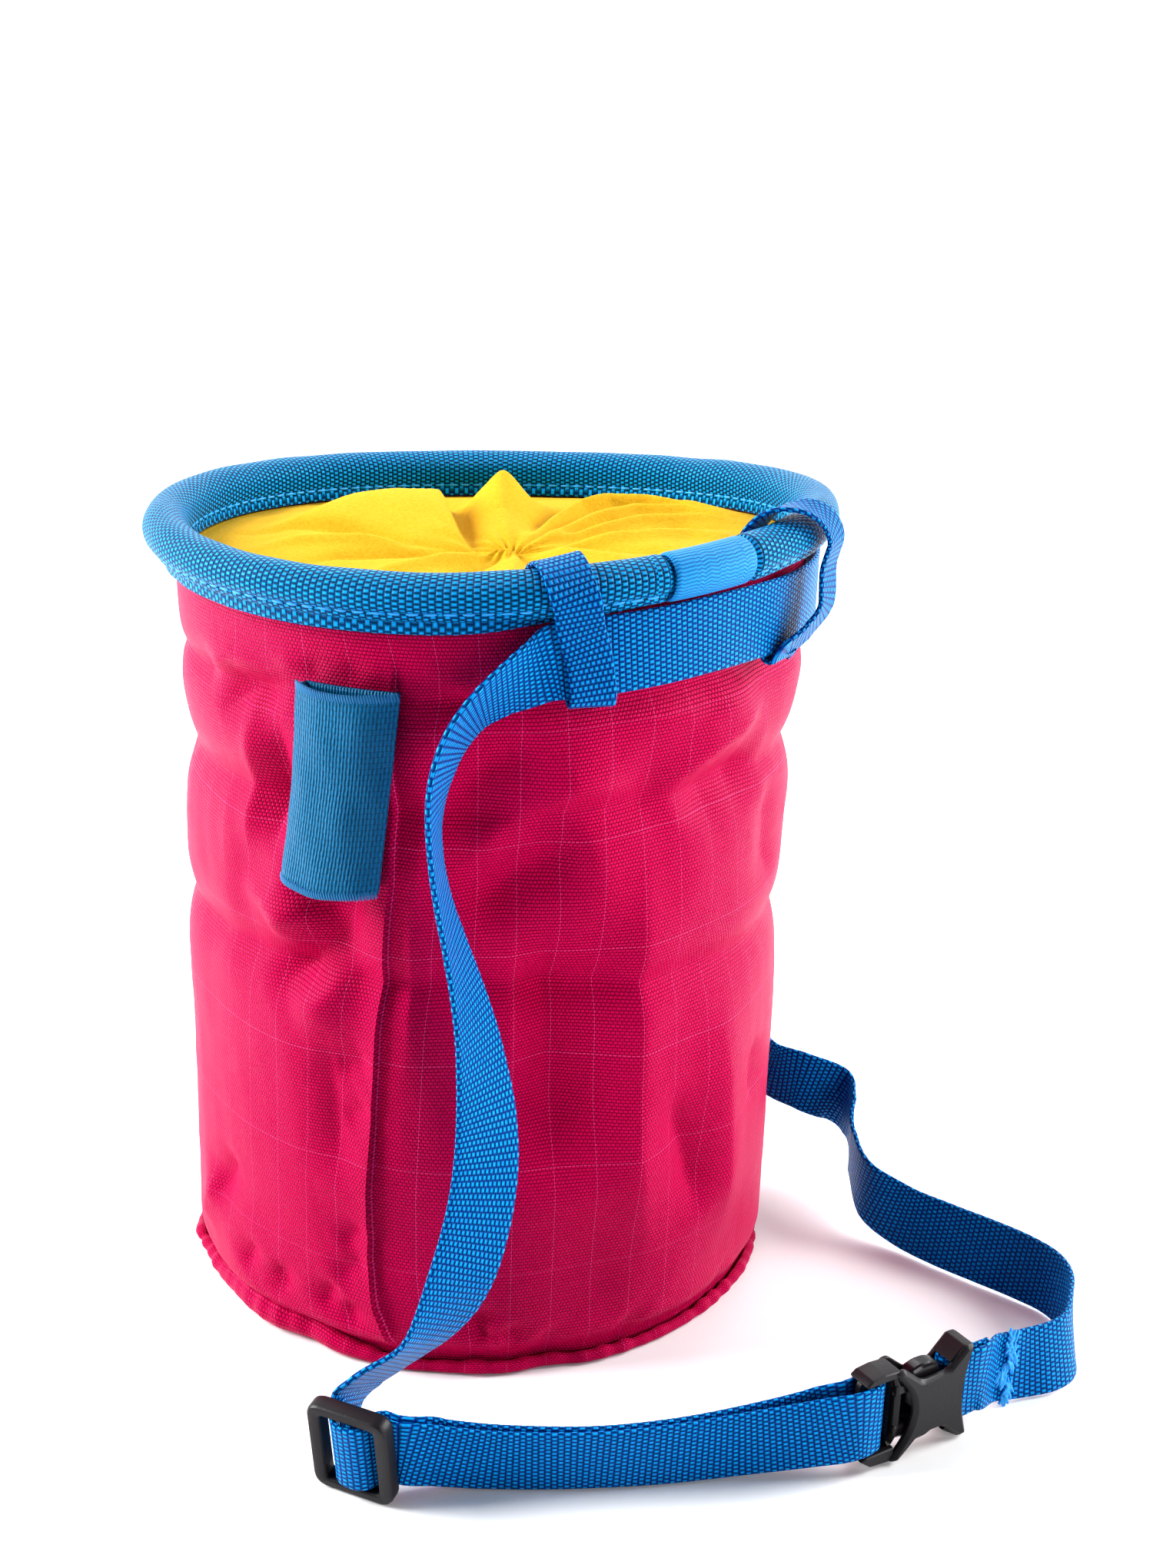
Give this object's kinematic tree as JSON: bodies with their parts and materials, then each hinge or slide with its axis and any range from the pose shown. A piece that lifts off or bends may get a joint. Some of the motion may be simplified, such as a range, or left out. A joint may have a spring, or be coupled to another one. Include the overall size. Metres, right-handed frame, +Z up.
{
  "type": "chalk bag",
  "caption": "Round cloth climbing chalk bag with a stiff bound rim, a gathered closure, a brush sleeve and a belt held in two loops and closed by a side-release buckle.",
  "frame": {"origin": "centre of the base, on the floor that the bag stands on", "axes": "+Z up; -Y towards the bag's front, where the belt hangs; the belt lies on the floor towards +X"},
  "size_m": [0.1989, 0.1794, 0.1775],
  "materials": {
    "body_cloth": "plain-woven nylon with a faint ripstop grid",
    "rim_webbing": "woven polyester webbing",
    "splice_tape": "smooth ribbed tape",
    "closure_cloth": "soft brushed microfibre",
    "brush_elastic": "fine ribbed elastic",
    "loop_webbing": "woven polyester webbing",
    "belt_webbing": "woven polyester webbing",
    "buckle_plastic": "fine-grained moulded acetal"
  },
  "bodies": {
    "root": {"side_wall": "body_cloth", "base_panel": "body_cloth", "rim_binding": "rim_webbing", "rim_splice": "splice_tape", "closure": "closure_cloth", "brush_holder": "brush_elastic", "belt_loop_left": "loop_webbing", "belt_loop_right": "loop_webbing", "belt_webbing": "belt_webbing", "slider": "buckle_plastic", "buckle_plug": "buckle_plastic", "buckle_socket": "buckle_plastic"}
  },
  "joints": []
}
